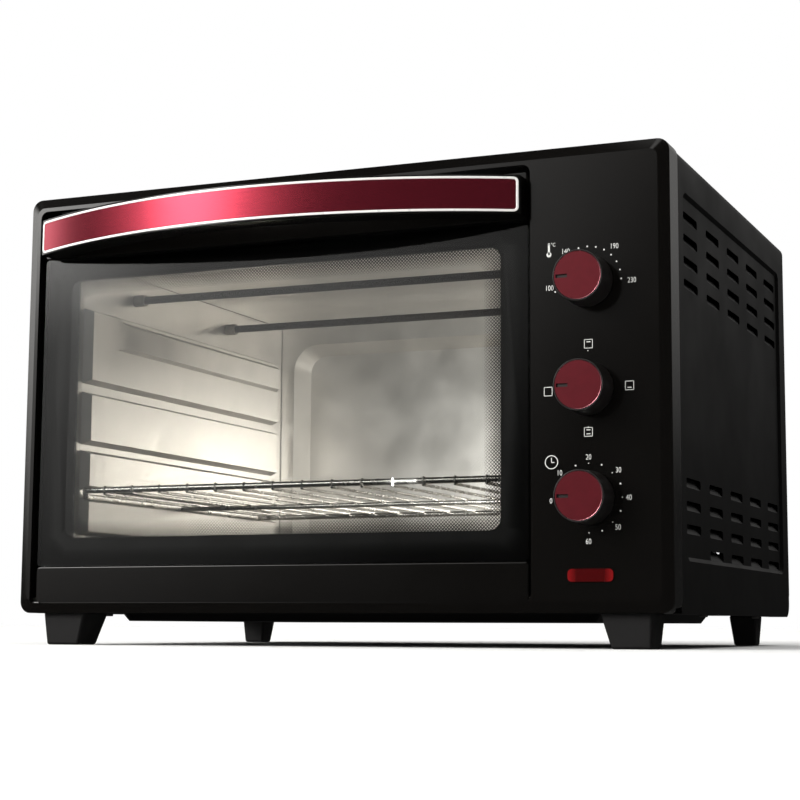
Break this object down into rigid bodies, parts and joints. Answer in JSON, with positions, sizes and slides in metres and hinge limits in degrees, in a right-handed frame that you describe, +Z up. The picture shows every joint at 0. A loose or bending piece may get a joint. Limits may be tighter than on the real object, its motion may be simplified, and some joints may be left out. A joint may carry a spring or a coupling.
{
  "type": "electric countertop oven",
  "caption": "Countertop electric oven with a drop-down glass door, bowed handle, wire rack and rotary dials in a louvred black cabinet.",
  "frame": {"origin": "middle of the overall footprint, on the table the feet stand on", "axes": "+X to the user's right, +Y from the front to the back, +Z up"},
  "size_m": [0.54, 0.479, 0.363],
  "materials": {
    "gloss_black": "glossy moulded plastic",
    "satin_black": "satin moulded plastic",
    "black_enamel": "satin powder coat",
    "aluminised_steel": "dull aluminised sheet",
    "galvanised_steel": "zinc-plated sheet",
    "steel_hardware": "zinc-plated",
    "element_sheath": "oxidised stainless tube",
    "ceramic": "unglazed ceramic",
    "chrome": "bright",
    "burgundy_metal": "brushed, tinted lacquer",
    "toughened_glass": "clear, with a black printed border",
    "red_lens": "translucent red",
    "white_plastic": "natural nylon",
    "copper_alloy": "bare"
  },
  "bodies": {
    "cabinet": {"base_pan": "black_enamel", "bracket_screws": "steel_hardware", "cabinet_screws": "steel_hardware", "cavity_back": "aluminised_steel", "cavity_liner": "aluminised_steel", "control_bracket": "galvanised_steel", "control_nuts": "copper_alloy", "cord_gland": "satin_black", "door_springs": "steel_hardware", "element_bushes": "ceramic", "foot_front_left": "satin_black", "foot_front_right": "satin_black", "foot_rear_left": "satin_black", "foot_rear_right": "satin_black", "foot_screws": "steel_hardware", "front_fascia": "gloss_black", "function_switch": "white_plastic", "heat_shield": "galvanised_steel", "hinge_bracket_left": "galvanised_steel", "hinge_bracket_right": "galvanised_steel", "hinge_pin_left": "steel_hardware", "hinge_pin_right": "steel_hardware", "indicator_lamp": "white_plastic", "indicator_lens": "red_lens", "lower_element_front": "element_sheath", "lower_element_rear": "element_sheath", "outer_cabinet": "black_enamel", "rear_cover": "black_enamel", "rear_cover_screws": "steel_hardware", "terminal_block": "white_plastic", "thermostat": "galvanised_steel", "thermostat_bulb": "copper_alloy", "timer_bell": "steel_hardware", "timer_mechanism": "galvanised_steel", "upper_element_front": "element_sheath", "upper_element_rear": "element_sheath", "wall_spacers": "satin_black"},
    "door": {"door_bottom_rail": "black_enamel", "door_top_rail": "black_enamel", "door_glass": "toughened_glass", "door_inner_frame": "black_enamel", "door_stay_left": "steel_hardware", "door_stay_right": "steel_hardware", "handle_body": "gloss_black", "handle_trim": "chrome", "handle_insert": "burgundy_metal", "handle_screws": "steel_hardware"},
    "rack": {"wire_rack": "chrome"},
    "thermostat_control": {"thermostat_knob": "satin_black", "thermostat_knob_disc": "burgundy_metal", "thermostat_shaft": "steel_hardware"},
    "function_control": {"function_knob": "satin_black", "function_knob_disc": "burgundy_metal", "function_shaft": "steel_hardware"},
    "timer_control": {"timer_knob": "satin_black", "timer_knob_disc": "burgundy_metal", "timer_shaft": "steel_hardware"}
  },
  "joints": [
    {"name": "door_hinge", "type": "hinge", "parent": "cabinet", "child": "door", "pos_m": [0, -0.1705, 0.0355], "axis": [1, 0, 0], "range_deg": [0, 80], "stiffness_Nm_per_rad": 1, "springref_deg": -45.84},
    {"name": "rack_slide", "type": "slide", "parent": "cabinet", "child": "rack", "axis": [0, -1, 0], "range_m": [0, 0.105]},
    {"name": "thermostat_knob_turn", "type": "hinge", "parent": "cabinet", "child": "thermostat_control", "pos_m": [0.2095, -0.1875, 0.262], "axis": [0, 1, 0], "range_deg": [-15, 180]},
    {"name": "function_knob_turn", "type": "hinge", "parent": "cabinet", "child": "function_control", "pos_m": [0.2095, -0.1875, 0.184], "axis": [0, 1, 0], "range_deg": [0, 270]},
    {"name": "timer_knob_turn", "type": "hinge", "parent": "cabinet", "child": "timer_control", "pos_m": [0.2095, -0.1875, 0.106], "axis": [0, 1, 0], "range_deg": [0, 270]}
  ],
  "couplings": [
    {"joint": "rack_slide", "follows": "door_hinge", "m_per_rad": 0.075}
  ]
}
